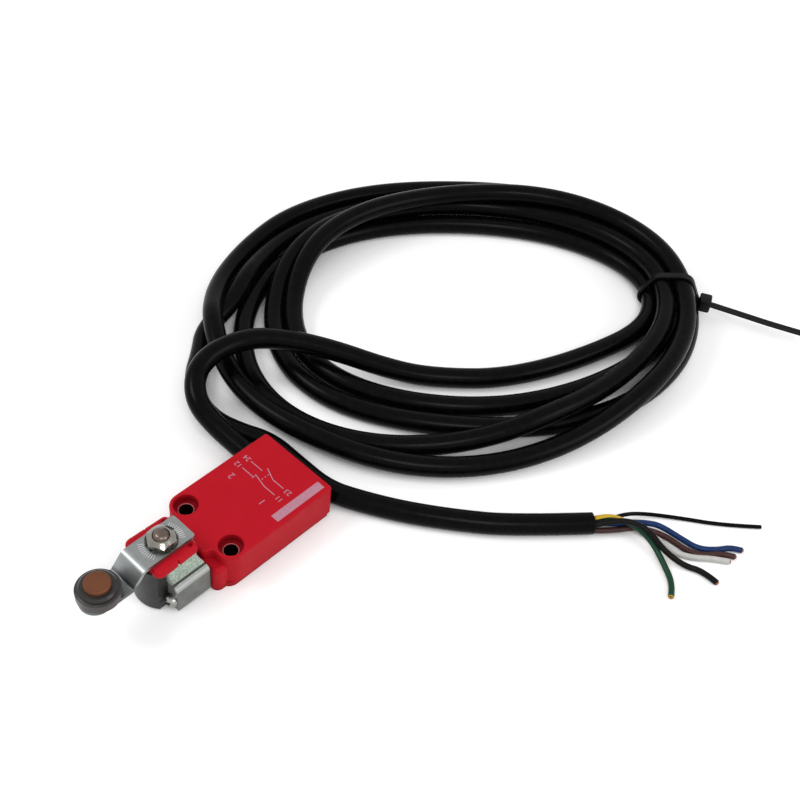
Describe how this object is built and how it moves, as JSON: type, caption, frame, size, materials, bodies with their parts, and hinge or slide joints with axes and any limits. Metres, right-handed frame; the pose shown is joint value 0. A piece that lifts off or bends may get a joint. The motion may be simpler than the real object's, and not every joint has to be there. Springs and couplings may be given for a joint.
{
  "type": "roller lever limit switch",
  "caption": "Compact limit switch with a red case, a side-swinging stepped roller lever, a die-cast head and a coiled, stripped flying lead.",
  "frame": {"origin": "midway between the two mounting holes, on the mounting face (the back of the case)", "axes": "+Z out of the mounting face through the front of the case; +Y from the lead's end towards the lever; +X across the case, to the side the lead leaves from"},
  "size_m": [0.2081, 0.26, 0.0247],
  "materials": {
    "red_plastic": "semi-gloss moulded red",
    "dark_red_plastic": "matte moulded red",
    "cream_plastic": "natural moulding",
    "contact_brass": "plain",
    "spring_steel": "bright",
    "seal_rubber": "matte",
    "dark_resin": "cast",
    "cast_zinc": "fine cast, slightly green-grey",
    "screw_steel": "zinc plated",
    "lever_steel": "satin",
    "dark_steel": "blackened",
    "nickel": "polished nickel",
    "roller_plastic": "satin moulded",
    "rivet_copper": "matte copper brown",
    "cable_jacket": "semi-gloss black",
    "wire_blue": "semi-gloss",
    "wire_brown": "semi-gloss",
    "wire_white": "semi-gloss",
    "wire_black": "semi-gloss",
    "wire_earth": "green with a yellow stripe",
    "copper": "bright strands",
    "tie_plastic": "satin black"
  },
  "bodies": {
    "base": {"case": "red_plastic", "back_cover": "dark_red_plastic", "contact_block": "cream_plastic", "nc_contacts": "contact_brass", "no_contacts": "contact_brass", "contact_spring": "spring_steel", "plunger_seal": "seal_rubber", "potting": "dark_resin", "cable_grommet": "seal_rubber", "head_gasket": "seal_rubber", "head_housing": "cast_zinc", "head_screws": "screw_steel", "head_cap": "red_plastic", "shaft_seal": "seal_rubber", "return_spring": "spring_steel", "cable_lead": "cable_jacket", "cable_tail": "cable_jacket", "wire_blue": "wire_blue", "wire_brown": "wire_brown", "wire_white": "wire_white", "wire_black": "wire_black", "wire_earth": "wire_earth", "filler_cord": "wire_black", "wire_cores": "copper", "cable_tie": "tie_plastic", "cable_coil": "cable_jacket"},
    "lever": {"shaft": "screw_steel", "cam": "spring_steel", "lever_arm": "lever_steel", "lock_washer": "dark_steel", "lever_nut": "nickel", "roller_pin": "rivet_copper", "roller_spacer": "lever_steel"},
    "roller": {"roller": "roller_plastic"},
    "plunger": {"plunger": "cream_plastic", "contact_slide": "cream_plastic", "contact_bridge": "contact_brass"}
  },
  "joints": [
    {"name": "lever_turn", "type": "hinge", "parent": "base", "child": "lever", "pos_m": [0, 0.0166, 0.0197], "axis": [0, 0, 1], "range_deg": [-70, 70], "stiffness_Nm_per_rad": 0.1, "deforming": ["return_spring"]},
    {"name": "roller_spin", "type": "hinge", "parent": "lever", "child": "roller", "pos_m": [0, 0.0385, 0.0189], "axis": [0, 0, 1], "continuous": true},
    {"name": "plunger_slide", "type": "slide", "parent": "base", "child": "plunger", "axis": [0, -1, 0], "range_m": [0, 0.0018], "stiffness_N_per_m": 1500, "deforming": ["contact_spring"]}
  ]
}
